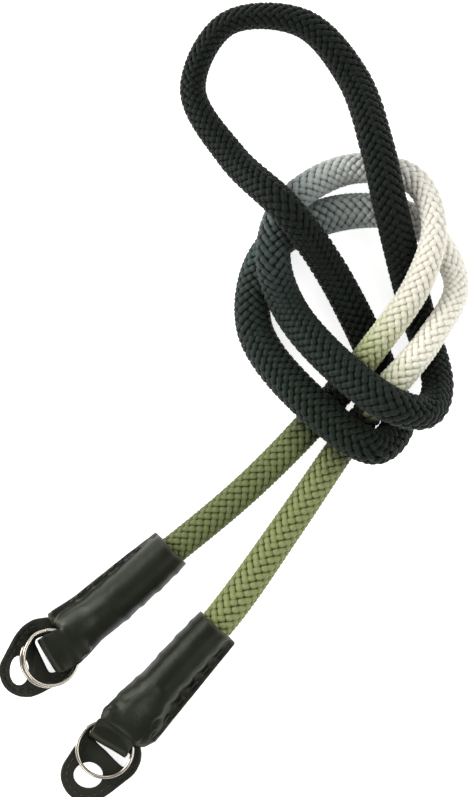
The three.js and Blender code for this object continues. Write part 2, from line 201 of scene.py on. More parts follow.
def rope_core():
    """A tube round the rope's line, with an ellipse as wide and as high as the core at each ring;
    returns the tube and the line."""
    centre, side, up, half, _, index = rope_line(CORE_STEP)
    angle = np.linspace(0, 2 * np.pi, CORE_SIDES, endpoint=False)
    across = side[:, None] * (half[:, None] * CORE_SCALE * np.cos(angle))[..., None]
    upward = up[:, None] * (HALF_HEIGHT * CORE_SCALE * np.sin(angle))[None, :, None]
    points = (centre[:, None] + across + upward).reshape(-1, 3)
    faces = tube_faces(len(centre), CORE_SIDES)
    # The core's height is zero, so all of it takes the painted pit shade.
    dye = np.repeat(index / (len(ROUTE) - 1), CORE_SIDES)
    core = strap_piece("rope_core", points, faces, {"dye": dye, "height": 0 * dye})
    return core, centre.tolist()


def rope_yarn(name, way, number):
    """One yarn: an oval carried along a winding line on the rope's oval.

    Its angle round the rope grows with the arc length, to the left (way 1) or the right (-1). It
    rides high on three crossings and low on the next three, which is a flattened cosine of three
    times the angle, and dips and narrows by a bell curve at each crease. The attribute "height"
    runs from the pits to the crowns of the floats, and is lower on each yarn's underside. The
    shader paints shade by it, darkest in the pits, in the creases and on the undersides.
    """
    centre, side, up, half, arc, index = rope_line(YARN_STEP)
    keep = (arc > YARN_START) & (arc < YARN_STOP)
    centre, side, up, half, arc, index = (v[keep] for v in (centre, side, up, half, arc, index))
    lay = np.interp(index, *np.array(LAYS, float).T) * MM
    turn = way * 2 * np.pi * np.cumsum(YARN_STEP / lay) + 2 * np.pi * number / YARNS_EACH_WAY
    half_wave = np.pi / WAVES_PER_TURN
    wave = np.tanh(WEAVE_SHARPNESS * np.cos(WAVES_PER_TURN * (turn - FLOAT_CENTRE)))
    wave *= way / np.tanh(WEAVE_SHARPNESS)
    crease_at = FLOAT_CENTRE - CREASE_BEFORE_CENTRE + (0 if way > 0 else half_wave)
    off = (turn - crease_at + half_wave) % (2 * half_wave) - half_wave
    faint_off = off - FAINT_CREASE_AFTER
    crease = (np.exp(-((off / CREASE_WIDTH) ** 2) / 2)
              + FAINT_CREASE * np.exp(-((faint_off / CREASE_WIDTH) ** 2) / 2))
    lift = WEAVE_DEPTH * wave - CREASE_DEPTH * crease
    inset = YARN_THICKNESS / 2 + WEAVE_DEPTH
    wide = (half - inset + lift)[:, None]
    high = (HALF_HEIGHT - inset + lift)[:, None]
    cosine, sine = np.cos(turn)[:, None], np.sin(turn)[:, None]
    line = centre + side * wide * sine + up * high * cosine
    outward = side * sine / wide + up * cosine / high
    along = np.gradient(line, axis=0)
    along /= np.linalg.norm(along, axis=1, keepdims=True)
    across = np.cross(outward, along)
    across /= np.linalg.norm(across, axis=1, keepdims=True)
    outward = np.cross(along, across)
    girth = np.pi * (half + HALF_HEIGHT - 2 * inset)
    slope = np.cos(np.arctan(girth / lay))
    pinch = 1 - CROSSING_PINCH * (1 - wave**2) - CREASE_PINCH * crease
    yarn_width = girth / YARNS_EACH_WAY * slope * YARN_FULLNESS * pinch
    angle = np.linspace(0, 2 * np.pi, YARN_SIDES, endpoint=False) + np.pi / YARN_SIDES
    oval_x, oval_y = np.cos(angle), np.sin(angle)
    points = (
        line[:, None]
        + across[:, None] * (yarn_width[:, None] / 2 * oval_x)[..., None]
        + outward[:, None] * (YARN_THICKNESS / 2 * oval_y)[None, :, None]
    )
    dye = np.repeat(index / (len(ROUTE) - 1), YARN_SIDES)
    # The height that sets the painted shade: low in the pits, in the creases and on the yarn's
    # underside.
    height = (0.5 + 0.5 * wave - 0.5 * crease)[:, None] * 0.75 + 0.25 * oval_y[None, :]
    faces = tube_faces(len(line), YARN_SIDES)
    return strap_piece(name, points.reshape(-1, 3), faces, {"dye": dye, "height": height})


def linear(colour):
    """An sRGB hex colour as the linear RGBA that the shader takes."""
    parts = [int(colour[i:i + 2], 16) / 255 for i in (1, 3, 5)]
    return [p / 12.92 if p <= 0.04045 else ((p + 0.055) / 1.055) ** 2.4 for p in parts] + [1.0]


def add_node(material, kind, settings=None, **inputs):
    """A node of this kind, with its settings set and its inputs given a number or a link. An input
    is named, with _ for a space, or is i and its number."""
    node = material.node_tree.nodes.new("ShaderNode" + kind)
    for key, value in (settings or {}).items():
        setattr(node, key, value)
    for key, value in inputs.items():
        socket = node.inputs[int(key[1:]) if key[0] == "i" and key[1:].isdigit()
                             else key.replace("_", " ")]
        if isinstance(value, bpy.types.NodeSocket):
            material.node_tree.links.new(value, socket)
        else:
            socket.default_value = value
    return node


def set_ramp(node, stops):
    """Gives a ColorRamp node these stops of place and colour."""
    ramp = node.color_ramp
    while len(ramp.elements) < len(stops):
        ramp.elements.new(0.5)
    for element, (place, colour) in zip(ramp.elements, stops):
        element.position = place
        element.color = linear(colour)
    return node


# The dye is blotched about every 4 mm, by this share of the route's steps. Painted shade deepens
# the hue by its gamma up to the first height, and is gone from the second height on.
BLOTCHES_PER_METRE = 260.0
BLOTCH_SHIFT = 0.012
PIT_TOP, CROWN_FOOT = 0.3, 0.9
PIT_SHADE_GAMMA = 1.75


def dyed_and_shaded_polyester():
    """Dip-dyed polyester yarn: matt, with a faint sheen, uneven dye and painted pit shade."""
    material = bpy.data.materials.new("dip_dyed_polyester_yarn_and_pit_shade")
    material.use_nodes = True
    surface = material.node_tree.nodes["Principled BSDF"]
    dye = add_node(material, "Attribute", {"attribute_name": "dye"})
    height = add_node(material, "Attribute", {"attribute_name": "height"})
    where = add_node(material, "TexCoord").outputs["Object"]
    blotches = add_node(material, "TexNoise", Vector=where, Scale=BLOTCHES_PER_METRE, Detail=3.0)
    shifted = add_node(material, "Math", {"operation": "MULTIPLY_ADD"},
                       i0=blotches.outputs["Fac"], i1=BLOTCH_SHIFT, i2=dye.outputs["Fac"])
    centred = add_node(material, "Math", {"operation": "SUBTRACT"},
                       i0=shifted.outputs[0], i1=BLOTCH_SHIFT / 2)
    hue = set_ramp(add_node(material, "ValToRGB", Fac=centred.outputs[0]),
                   [(place / (len(ROUTE) - 1), colour) for place, colour in DYES_AND_SHADE])
    # Painted shade: the hue raised to a gamma where the height is low, and plain on the crowns.
    lit = add_node(material, "MapRange", {"interpolation_type": "SMOOTHSTEP"},
                   Value=height.outputs["Fac"], From_Min=PIT_TOP, From_Max=CROWN_FOOT)
    deep = add_node(material, "Gamma", Color=hue.outputs["Color"], Gamma=PIT_SHADE_GAMMA)
    shade = add_node(material, "Mix", {"data_type": "RGBA"}, i0=lit.outputs["Result"],
                     i6=deep.outputs["Color"], i7=hue.outputs["Color"])
    material.node_tree.links.new(shade.outputs[2], surface.inputs["Base Color"])
    surface.inputs["Roughness"].default_value = 0.6
    surface.inputs["Sheen Weight"].default_value = 0.03
    surface.inputs["Sheen Roughness"].default_value = 0.5
    surface.inputs["Specular IOR Level"].default_value = 0.2
    surface.inputs["Specular Tint"].default_value = linear("#e0f0e0")
    return material


yarn_material = dyed_and_shaded_polyester()
core, core_path = rope_core()
core.data.materials.append(yarn_material)
yarns = []
for way, side_name in ((1, "left"), (-1, "right")):
    for number in range(YARNS_EACH_WAY):
        yarn = rope_yarn(f"yarn_{side_name}_{number + 1}", way, number)
        yarn.data.materials.append(yarn_material)
        yarns.append(yarn)
for piece in [core] + yarns:
    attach(piece, "root")
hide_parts("rope")


# Leather sleeves: black vegetable-tanned cowhide 1.3 mm thick, wetted, folded round the rope and
# sewn through both layers beside it with thick black thread. Past the rope each one flattens into
# a neck that is folded over the ring and back under it.

# Lengths in mm. place and turn: the end's own frame on the table, at the middle of its ring, with
# +X back towards the rope. mouth and neck: both ends of the sleeve's axis in that frame. Along the
# sleeve, distances count from the mouth, and across it from the axis.
# flange_side: the side, left (1) or right (-1), that is sewn. edge: rows of distance along and how
# far out the flange reaches. flange_end: rows of distance across and x of the flange's cut end.
# mid: the height at which the flange's two layers meet.
# seam: first and last stitch along, and their distance inside the flange's edge. stitch_at: where
# one stitch has its middle. stitch_length: how long its pit is. knots: where thread stands out of
# the plain side.
# groove: the furrow between the rope's bulge and the flange, as its distance across, how far it
# wanders and how deep it is.
# left_side and right_side: rows of x and how far out the neck's layers reach. layer: the height
# above which they are the upper one. slant: how far the roll over the ring moves on, at its left
# and its right. roll_back: where the roll ends and the slope up to the sleeve starts. crease: x and
# depth of the crease that the fold leaves on top.
ENDS = {
    "left": {
        "place": (-20.36, 2.8), "turn": 30.7, "mouth": (48.2, 9.6), "neck": (8.0, 0.0),
        "flange_side": 1,
        "edge": [(0, 6.9), (8, 7.8), (16, 8.7), (25, 9.5), (30, 9.9), (34, 10.6), (38, 11.5)],
        "seam": (1.2, 38.0, 0.9), "stitch_at": 7.5, "mid": 4.9,
        "knots": [3.9, 11.2, 17.8, 23.9, 43.6],
        "groove": (7.0, 0.3, 0.12),
        "left_side": [(-2, 6.2), (2, 6.7), (5.5, 6.4)],
        "right_side": [(-2, 4.5), (-0.5, 4.6), (0.8, 5.2), (3.7, 5.9), (5.4, 6.0), (8, 5.7),
                       (10, 5.2)], "slant": (0.3, 0.2),
        "layer": 7.0, "flange_end": [(6.6, 8.4), (9, 7.1), (11.2, 5.6)],
        "roll_back": 2.4, "crease": (6.0, 0.08), "stitch_length": 2.8,
    },
    "right": {
        "place": (-3.86, -24.65), "turn": 53.3, "mouth": (49.9, -4.2), "neck": (8.0, 0.0),
        "flange_side": -1,
        "edge": [(0, 8.2), (8, 8.7), (16, 9.2), (25, 9.7), (30, 10.0), (34, 10.3), (38, 10.5)],
        "seam": (1.2, 38.5, 1.9), "stitch_at": 12.0, "mid": 4.8,
        "knots": [4.4, 10.3, 17.8, 27.7, 34.4, 41.0],
        "groove": (6.3, 0.45, 0.32),
        "left_side": [(0, 6.4), (2.3, 6.6), (5, 7.0), (7.4, 6.9), (10, 6.9)],
        "right_side": [(0, 6.2), (2.7, 6.4), (4.2, 6.0), (5.8, 5.7)], "slant": (1.1, 0.1),
        "layer": 6.2, "flange_end": [(5.6, 7.6), (7.6, 7.0), (10, 9.0)],
        "roll_back": 4.2, "crease": (7.2, 0.42), "stitch_length": 3.4,
    },
}
STITCH_PITCH = 6.2
LEATHER_VOXEL = 0.42 * MM
LEATHER_EASING = 7
MERGE_WITHIN = 0.001 * MM
ABOVE_TABLE = 0.02 * MM


def to_end(end, points):
    """Points in metres, as millimetres in the end's own frame: moved, then turned back."""
    angle = np.radians(end["turn"])
    x = points[:, 0] / MM - end["place"][0]
    y = points[:, 1] / MM - end["place"][1]
    return np.column_stack([x * np.cos(angle) + y * np.sin(angle),
                            y * np.cos(angle) - x * np.sin(angle), points[:, 2] / MM])


def from_end(end, points):
    """Millimetres in the end's own frame, as points in metres: turned, then moved."""
    angle = np.radians(end["turn"])
    x, y = points[..., 0], points[..., 1]
    return np.stack([(x * np.cos(angle) - y * np.sin(angle) + end["place"][0]) * MM,
                     (x * np.sin(angle) + y * np.cos(angle) + end["place"][1]) * MM,
                     points[..., 2] * MM], axis=-1)


def sleeve_axes(end):
    """The sleeve's mouth, its way to the neck and its way out to the flange, in the end's frame."""
    mouth, neck = np.array(end["mouth"]), np.array(end["neck"])
    way = (neck - mouth) / np.linalg.norm(neck - mouth)
    return mouth, way, np.array([way[1], -way[0]]) * end["flange_side"]


def along_sleeve(end, points):
    """Distance from the mouth towards the neck, and out from the axis towards the flange, in mm."""
    mouth, way, out = sleeve_axes(end)
    local = to_end(end, points)[:, :2] - mouth
    return local @ way, local @ out


def soft_copy(node, name, voxel, easing):
    """A mesh object made from a merged copy of a CAD solid, cut into even small faces and eased."""
    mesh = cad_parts[node].data.copy()
    mesh.materials.clear()
    merged = bmesh.new()
    merged.from_mesh(mesh)
    bmesh.ops.remove_doubles(merged, verts=merged.verts, dist=MERGE_WITHIN)
    merged.to_mesh(mesh)
    merged.free()
    rough = bpy.data.objects.new(name + "_rough", mesh)
    bpy.context.scene.collection.objects.link(rough)
    remesh = rough.modifiers.new("even_faces", "REMESH")
    remesh.mode = "VOXEL"
    remesh.voxel_size = voxel
    ease = rough.modifiers.new("ease", "SMOOTH")
    ease.factor = 0.5
    ease.iterations = easing
    eased = bpy.data.meshes.new_from_object(rough.evaluated_get(
        bpy.context.evaluated_depsgraph_get()))
    bpy.data.objects.remove(rough)
    eased.name = name
    eased.polygons.foreach_set("use_smooth", np.ones(len(eased.polygons), dtype=bool))
    piece = bpy.data.objects.new(name, eased)
    bpy.context.scene.collection.objects.link(piece)
    return piece


def mesh_points(piece):
    """The piece's points and their outward normals, as arrays."""
    count = len(piece.data.vertices)
    points, normals = np.empty(count * 3), np.empty(count * 3)
    piece.data.vertices.foreach_get("co", points)
    piece.data.vertices.foreach_get("normal", normals)
    return points.reshape(-1, 3), normals.reshape(-1, 3)


def press(piece, points, normals, depth_mm):
    """Moves each point along its normal: out where the depth is above zero, in where below, and
    nowhere under the table's top."""
    moved = points + normals * (depth_mm * MM)[:, None]
    moved[:, 2] = np.maximum(moved[:, 2], ABOVE_TABLE)
    piece.data.vertices.foreach_set("co", moved.ravel())
    piece.data.update()


def ease_heights(piece, heights, weight, rounds):
    """The heights of the piece's points after this many rounds, each of which moves every height
    by half its weight towards the mean height of the points it shares an edge with."""
    edges = np.empty(len(piece.data.edges) * 2, dtype=np.int64)
    piece.data.edges.foreach_get("vertices", edges)
    first, second = edges[::2], edges[1::2]
    count = len(heights)
    neighbours = np.bincount(edges, minlength=count)
    for _ in range(rounds):
        total = (np.bincount(first, heights[second], count)
                 + np.bincount(second, heights[first], count))
        heights = heights + (total / neighbours - heights) * 0.5 * weight
    return heights


def gently(x):
    """From 0 to 1 as x goes from 0 to 1, level at both ends."""
    x = np.clip(x, 0, 1)
    return x * x * (3 - 2 * x)


# The neck, in mm: x where its roll over the ring ends, the height of the top of the layer that
# comes back under the ring, and x where that layer ends. The side's reach is measured once every
# bin of x. The slope up to the sleeve is eased, for this many rounds, up to its end and as far out
# as its half width.
ROLL_END = 6
RETURN_TOP = 3.3
RETURN_END = 7.5
SIDE_BIN = 0.5
SLOPE_END = 18
SLOPE_HALF_WIDTH = 8.5
NECK_EASING = 260


def reach_out(local, side, rows, layer):
    """Stretches one side (left 1, right -1) of the neck's layers, above and under the sleeve's own,
    so that they reach as far out from the axis as the rows of x and distance say.

    The stretch is the wanted distance over the farthest one of each short step of x. It fades out
    past both ends of the rows, and on heights between the two layers.
    """
    x, y, z = local[:, 0], local[:, 1] * side, local[:, 2]
    on_roll = gently(ROLL_END - x)
    on_top = gently(z - layer + 0.5)
    on_return = gently((RETURN_TOP - z) / 0.6) * gently((RETURN_END - x) / 1.5)
    on_layer = np.maximum(np.maximum(on_roll, on_top), on_return)
    bins = np.floor((x - x.min()) / SIDE_BIN).astype(int)
    reach = np.zeros(bins.max() + 1)
    np.maximum.at(reach, bins, np.where((z > layer) | (x < ROLL_END - 1), y, 0))
    now = np.interp(x, x.min() + (np.arange(len(reach)) + 0.5) * SIDE_BIN, np.maximum(reach, 1))
    at, wanted = np.array(rows, float).T
    inside = gently(x - at[0] + 1) * gently((at[-1] + 3 - x) / 3) * on_layer
    stretch = 1 + (np.interp(x, at, wanted) / now - 1) * inside
    local[:, 1] = np.where(y > 0, local[:, 1] * stretch, local[:, 1])


def shape_neck(piece, end):
    """Brings the neck's sides out to where they are seen, moves the roll over the ring on by its
    slant, less at its corners, and eases the step where its upper face meets the sleeve into one
    smooth slope."""
    points, normals = mesh_points(piece)
    local = to_end(end, points)
    reach_out(local, 1, end["left_side"], end["layer"])
    reach_out(local, -1, end["right_side"], end["layer"])
    x, outward = local[:, 0].copy(), np.abs(local[:, 1])
    at_left, at_right = end["slant"]
    move = at_right + (at_left - at_right) * gently((local[:, 1] + 5) / 11)
    local[:, 0] -= (move - 0.05 * np.maximum(outward - 3, 0)) * gently((ROLL_END - x) / 4)
    slope = gently((x - end["roll_back"]) / 2) * gently((SLOPE_END - x) / 4)
    upper = gently((normals[:, 2] + 0.3) / 0.3)
    inner = gently((SLOPE_HALF_WIDTH - outward) / 2)
    local[:, 2] = ease_heights(piece, local[:, 2], slope * upper * inner, NECK_EASING)
    piece.data.vertices.foreach_set("co", from_end(end, local).ravel())
    piece.data.update()


def bump_at(x, centre, width):
    """A bell curve of height 1 round the centre."""
    return np.exp(-(((x - centre) / width) ** 2) / 2)


def uneven(points, size_mm, seed):
    """Gentle unevenness, mostly from -1 to 1: nine sine waves of about this length, whose ways and
    starts come from the seed, added up and divided by three."""
    draw = np.random.default_rng(seed)
    total = 0
    for _ in range(9):
        way = draw.normal(size=3)
        way /= np.linalg.norm(way)
        length = size_mm * draw.uniform(0.7, 1.5) * MM
        total = total + np.sin(2 * np.pi * (points @ way) / length + draw.uniform(0, 6.28))
    return total / 3


def seam_stitches(end):
    """Middles of the stitches along the seam, in mm from the mouth."""
    first, last, _ = end["seam"]
    start = end["stitch_at"] - STITCH_PITCH * np.floor((end["stitch_at"] - first) / STITCH_PITCH)
    return np.arange(start, last, STITCH_PITCH)


# What the thread and the folding press into the sleeve, in mm. A pair is how deep or high a bell
# is, and how wide.
STITCH_PIT = (0.34, 0.4)
SEAM_SWELL = (0.16, 0.9)
LAYER_JOINT = (0.22, 0.22)
KNOT_BULGE = (0.22, 0.8)
KNOT_DIMPLE = (0.12, 0.8)
FURROW_WIDTH = 0.5
FURROW_END = 38
FOLD_CREASE_WIDTH = 0.55


def shape_sleeve(piece, end, seed):
    """Presses the sleeve's surface, in mm along the normals.

    Stitches are long bells in a row inside the flange's edge. The furrow beside the bulge is a bell
    across a line that wanders once a stitch, with a low swell beside it. The edge shows the joint
    of the two layers as a fine bell at the height where they meet. Both faces are a little uneven.
    The attribute "edge" marks the cut edges, where the leather is paler.
    """
    points, normals = mesh_points(piece)
    along, across = along_sleeve(end, points)
    height = points[:, 2] / MM
    flat = np.abs(normals[:, 2])
    reach = np.interp(along, *np.array(end["edge"], float).T)
    seam = reach - end["seam"][2]
    depth = 0.035 * uneven(points, 14, seed) + 0.012 * uneven(points, 2.5, seed + 1)

    in_seam = (along > end["seam"][0] - 3) & (across > 3)
    off = np.abs(along[:, None] - seam_stitches(end)).min(axis=1)
    pits = np.exp(-((np.maximum(off - end["stitch_length"] / 2 + 0.5, 0) / 0.45) ** 2))
    depth -= STITCH_PIT[0] * pits * bump_at(across, seam, STITCH_PIT[1]) * in_seam * flat
    depth += SEAM_SWELL[0] * (1 - pits) * bump_at(across, seam, SEAM_SWELL[1]) * in_seam * flat

    place, wander, deep = end["groove"]
    phase = 2 * np.pi * (along - end["stitch_at"]) / STITCH_PITCH
    furrow = place + wander * np.cos(phase) + (reach - reach.min()) * 0.25
    fade = np.clip((along + 1) / 3, 0, 1) * np.clip((FURROW_END - along) / 4, 0, 1)
    depth -= deep * bump_at(across, furrow, FURROW_WIDTH) * fade * (across > 2)
    swell = deep * 0.35 * bump_at(across, furrow - 1.3, 0.8)
    depth += swell * fade * (0.6 + 0.4 * np.cos(phase))

    rim = (across > reach - 0.9) & (flat < 0.75) & in_seam
    depth -= LAYER_JOINT[0] * bump_at(height, end["mid"], LAYER_JOINT[1]) * rim

    plain_side = (across < -4) * bump_at(height, 6.0, 2.5)
    for middle in end["knots"]:
        depth += KNOT_BULGE[0] * bump_at(along, middle, KNOT_BULGE[1]) * plain_side
        depth -= KNOT_DIMPLE[0] * bump_at(along, middle + 2.0, KNOT_DIMPLE[1]) * plain_side

    local = to_end(end, points)
    bend, deep = end["crease"]
    bow = bend - 0.02 * local[:, 1] ** 2
    on_neck = (normals[:, 2] > 0.3) & (height > 5)
    depth -= deep * bump_at(local[:, 0], bow, FOLD_CREASE_WIDTH) * on_neck
    depth += deep / 3 * bump_at(local[:, 0], bow - 1.6, 0.9) * on_neck
    press(piece, points, normals, depth)

    outward = local[:, 1] * end["flange_side"]
    from_cut = local[:, 0] - np.interp(outward, *np.array(end["flange_end"], float).T)
    on_cut = bump_at(from_cut, 0.2, 0.5) * (outward > 6.5)
    worn = np.clip(np.where(rim, 1.0, 0.0) + 0.8 * bump_at(along, 0.2, 0.5) + on_cut, 0, 1)
    piece.data.attributes.new("edge", "FLOAT", "POINT").data.foreach_set(
        "value", worn.astype(np.float32))


# The seam's thread: its radius, how far a stitch bulges, and how deep its ends sink in. A stitch
# that lands with one end this much higher than the other has missed its face.
SEAM_THREAD = 0.34 * MM
SEAM_BULGE = 0.1 * MM
SEAM_SINK = 0.12 * MM
STITCH_RISE = 1.2 * MM
THREAD_SIDES = 8
THREAD_RINGS = 9


def thread_piece(name, ends, radius, bulge):
    """Short thick threads, one between each pair of points.

    Each is a circle carried along a line from the first to the second end, raised in the middle by
    a sine, with a radius that follows a rounded box so that both tips close.
    """
    sides, rings = THREAD_SIDES, THREAD_RINGS
    first, second = ends[:, 0], ends[:, 1]
    t = np.linspace(0, 1, rings)
    taper = np.sqrt(np.clip(1 - np.abs(2 * t - 1) ** 6, 0.0025, 1))
    way = second - first
    length = np.linalg.norm(way, axis=1, keepdims=True)
    way = way / length
    side = np.cross(way, [0, 0, 1.0])
    side /= np.linalg.norm(side, axis=1, keepdims=True)
    up = np.cross(side, way)
    middle = first[:, None] + (second - first)[:, None] * t[None, :, None]
    middle = middle + up[:, None] * (bulge * np.sin(np.pi * t))[None, :, None]
    angle = np.linspace(0, 2 * np.pi, sides, endpoint=False)
    ring = (side[:, None, None] * np.cos(angle)[None, None, :, None]
            + up[:, None, None] * np.sin(angle)[None, None, :, None])
    points = middle[:, :, None] + ring * (radius * taper)[None, :, None, None]
    one = tube_faces(rings, sides)
    faces = []
    for number in range(len(ends)):
        shift = number * rings * sides
        faces += [[corner + shift for corner in face[::-1]] for face in one]
    return strap_piece(name, points.reshape(-1, 3), faces, {})


def drop_onto(piece, points, sink):
    """Pairs of points, the ends of stitches, moved straight down onto the piece's upper side and
    sunk in by this much. A pair that misses the piece, or lands with one point much higher, is
    left out."""
    tree = BVHTree.FromObject(piece, bpy.context.evaluated_depsgraph_get())
    landed = points.reshape(-1, 3).copy()
    for row in landed:
        hit = tree.ray_cast((row[0], row[1], 0.1), (0, 0, -1))[0]
        row[2] = np.nan if hit is None else hit[2] - sink
    landed = landed.reshape(-1, 2, 3)
    rise = np.abs(landed[:, 0, 2] - landed[:, 1, 2])
    return landed[rise < STITCH_RISE]


def seam_threads(name, end, sleeve):
    """The stitches on the upper side of the seam, each a little shorter than its pit."""
    mouth, way, out = sleeve_axes(end)
    middles = seam_stitches(end)
    half = end["stitch_length"] / 2 - 0.4
    pairs = np.stack([middles - half, middles + half], axis=1)
    seam = np.interp(pairs, *np.array(end["edge"], float).T) - end["seam"][2]
    flat = mouth + pairs[..., None] * way + seam[..., None] * out
    lying = from_end(end, np.concatenate([flat, np.zeros(flat.shape[:2] + (1,))], axis=-1))
    landed = drop_onto(sleeve, lying, SEAM_SINK)
    return thread_piece(name, landed, SEAM_THREAD, SEAM_BULGE)


# How many there are to a metre: clouds of tone every 6 mm, creases every 1.1 mm, pores every 0.5 mm
# and turns of thread every 0.4 mm.
CLOUDS, FINE_CREASES, PORES, THREAD_TURNS = 160.0, 900.0, 1900.0, 2500.0
GRAIN_HEIGHT = 0.12 * MM
CUT_EDGE = "#4a4740"


def waxed_leather(name, dark, light, roughness):
    """Aniline-dyed, waxed black cowhide: satin, with fine pores and creases and paler cut edges."""
    material = bpy.data.materials.new(name)
    material.use_nodes = True
    surface = material.node_tree.nodes["Principled BSDF"]
    where = add_node(material, "TexCoord").outputs["Object"]
    edge = add_node(material, "Attribute", {"attribute_name": "edge"})
    clouds = add_node(material, "TexNoise", Vector=where, Scale=CLOUDS, Detail=4.0)
    tone = set_ramp(add_node(material, "ValToRGB", Fac=clouds.outputs["Fac"]),
                    [(0.3, dark), (0.75, light)])
    tint = add_node(material, "Math", {"operation": "MULTIPLY"}, i0=edge.outputs["Fac"], i1=0.7)
    mixed = add_node(material, "Mix", {"data_type": "RGBA"}, i0=tint.outputs[0],
                     i6=tone.outputs["Color"], i7=linear(CUT_EDGE))
    material.node_tree.links.new(mixed.outputs[2], surface.inputs["Base Color"])
    rough = add_node(material, "MapRange", Value=clouds.outputs["Fac"], From_Min=0.3,
                     From_Max=0.7, To_Min=roughness - 0.05, To_Max=roughness + 0.08)
    material.node_tree.links.new(rough.outputs["Result"], surface.inputs["Roughness"])
    pores = add_node(material, "TexVoronoi", {"feature": "F1"}, Vector=where, Scale=PORES)
    creases = add_node(material, "TexNoise", Vector=where, Scale=FINE_CREASES, Detail=5.0)
    grain = add_node(material, "Math", {"operation": "MULTIPLY_ADD"},
                     i0=pores.outputs["Distance"], i1=0.5, i2=creases.outputs["Fac"])
    relief = add_node(material, "Bump", Strength=0.16, Distance=GRAIN_HEIGHT,
                      Height=grain.outputs[0])
    material.node_tree.links.new(relief.outputs["Normal"], surface.inputs["Normal"])
    surface.inputs["Specular IOR Level"].default_value = 0.3
    surface.inputs["Specular Tint"].default_value = linear("#e9f0d8")
    return material


def black_thread():
    """Waxed black polyester thread: matt, and mottled by the turns of its twist."""
    material = bpy.data.materials.new("waxed_black_thread")
    material.use_nodes = True
    surface = material.node_tree.nodes["Principled BSDF"]
    where = add_node(material, "TexCoord").outputs["Object"]
    twist = add_node(material, "TexNoise", Vector=where, Scale=THREAD_TURNS, Detail=2.0)
    tone = set_ramp(add_node(material, "ValToRGB", Fac=twist.outputs["Fac"]),
                    [(0.35, "#0f100d"), (0.7, "#20211c")])
    material.node_tree.links.new(tone.outputs["Color"], surface.inputs["Base Color"])
    surface.inputs["Roughness"].default_value = 0.6
    return material


sleeve_leather = waxed_leather("waxed_black_cowhide", "#0c0e08", "#12150d", 0.4)
thread_material = black_thread()
for number, (side, end) in enumerate(ENDS.items()):
    sleeve = soft_copy(f"sleeve_{side}", f"leather_sleeve_{side}", LEATHER_VOXEL, LEATHER_EASING)
    shape_neck(sleeve, end)
    shape_sleeve(sleeve, end, 11 + number)
    sleeve.data.materials.append(sleeve_leather)
    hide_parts(f"sleeve_{side}")
    threads = seam_threads(f"seam_thread_{side}", end, sleeve)
    threads.data.materials.append(thread_material)
    for piece in (sleeve, threads):
        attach(piece, "root")


# Split rings: hard steel wire wound to nearly two turns, polished. Each goes through the fold of
# its sleeve's neck. The left one is tipped, so that its two turns show side by side.

# Lengths in mm and angles in degrees. The radius is the outer one, and the wire's size is its
# thickness. The lower turn steps up to the upper one by the pitch, and both cut ends stay the gap
# away from that step. height: of the ring's middle. tilt and tilt_axis: how far it tips, and the
# direction of the line it tips about. turn: how far round its step is. spread: how far the turns
# shift apart, each way.
RING_RADIUS = 8.85
WIRE = 1.1
COIL_PITCH = 1.2
COIL_STEP = 40.0
COIL_END_GAP = 4.0
WIRE_SIDES = 16
WIRE_RINGS = 240
END_ROUNDING = 2.3
RINGS = {
    "left": {"height": 7.0, "tilt": 15.0, "tilt_axis": 49.3, "turn": 118.0, "spread": 0.35},
    "right": {"height": 4.85, "tilt": 0.0, "tilt_axis": 0.0, "turn": 0.0, "spread": 0.05},
}


def split_ring(name, end, ring):
    """A round wire along nearly two turns of a circle.

    It climbs one pitch over the last 40 degrees of the first turn, and the lower turn is shifted
    forward and the upper one back by the spread. The wire's radius closes over both cut ends.
    """
    sweep = 720 - COIL_STEP - 2 * COIL_END_GAP
    degrees = COIL_END_GAP + sweep * np.linspace(0, 1, WIRE_RINGS)
    step = np.clip((degrees - 360 + COIL_STEP) / COIL_STEP, 0, 1)
    climb = step * step * (3 - 2 * step) - 0.5
    angle = np.radians(degrees)
    middle = RING_RADIUS - WIRE / 2
    around = np.linspace(0, 2 * np.pi, WIRE_SIDES, endpoint=False)
    from_cut = np.minimum(np.arange(WIRE_RINGS), np.arange(WIRE_RINGS)[::-1])
    closing = 1 - np.clip((from_cut + 0.3) / END_ROUNDING, 0, 1)
    thick = WIRE / 2 * np.sqrt(1 - closing**2)
    radius = middle + thick[:, None] * np.cos(around)
    z = COIL_PITCH * climb[:, None] + thick[:, None] * np.sin(around)
    local = np.stack([radius * np.cos(angle)[:, None], radius * np.sin(angle)[:, None], z], axis=-1)
    turn = np.radians(ring["turn"])
    spin = np.array([[np.cos(turn), -np.sin(turn), 0], [np.sin(turn), np.cos(turn), 0], [0, 0, 1]])
    local = local @ spin.T
    local[..., 0] += 2 * climb[:, None] * ring["spread"]
    lean, about = np.radians(ring["tilt"]), np.radians(ring["tilt_axis"])
    axis = np.array([np.cos(about), np.sin(about), 0])
    local = (local * np.cos(lean) + np.cross(axis, local) * np.sin(lean)
             + axis * (local @ axis)[..., None] * (1 - np.cos(lean)))
    local[..., 2] += ring["height"]
    faces = [face[::-1] for face in tube_faces(WIRE_RINGS, WIRE_SIDES)]
    return strap_piece(name, from_end(end, local).reshape(-1, 3), faces, {})


SCUFFS_PER_METRE = 300.0


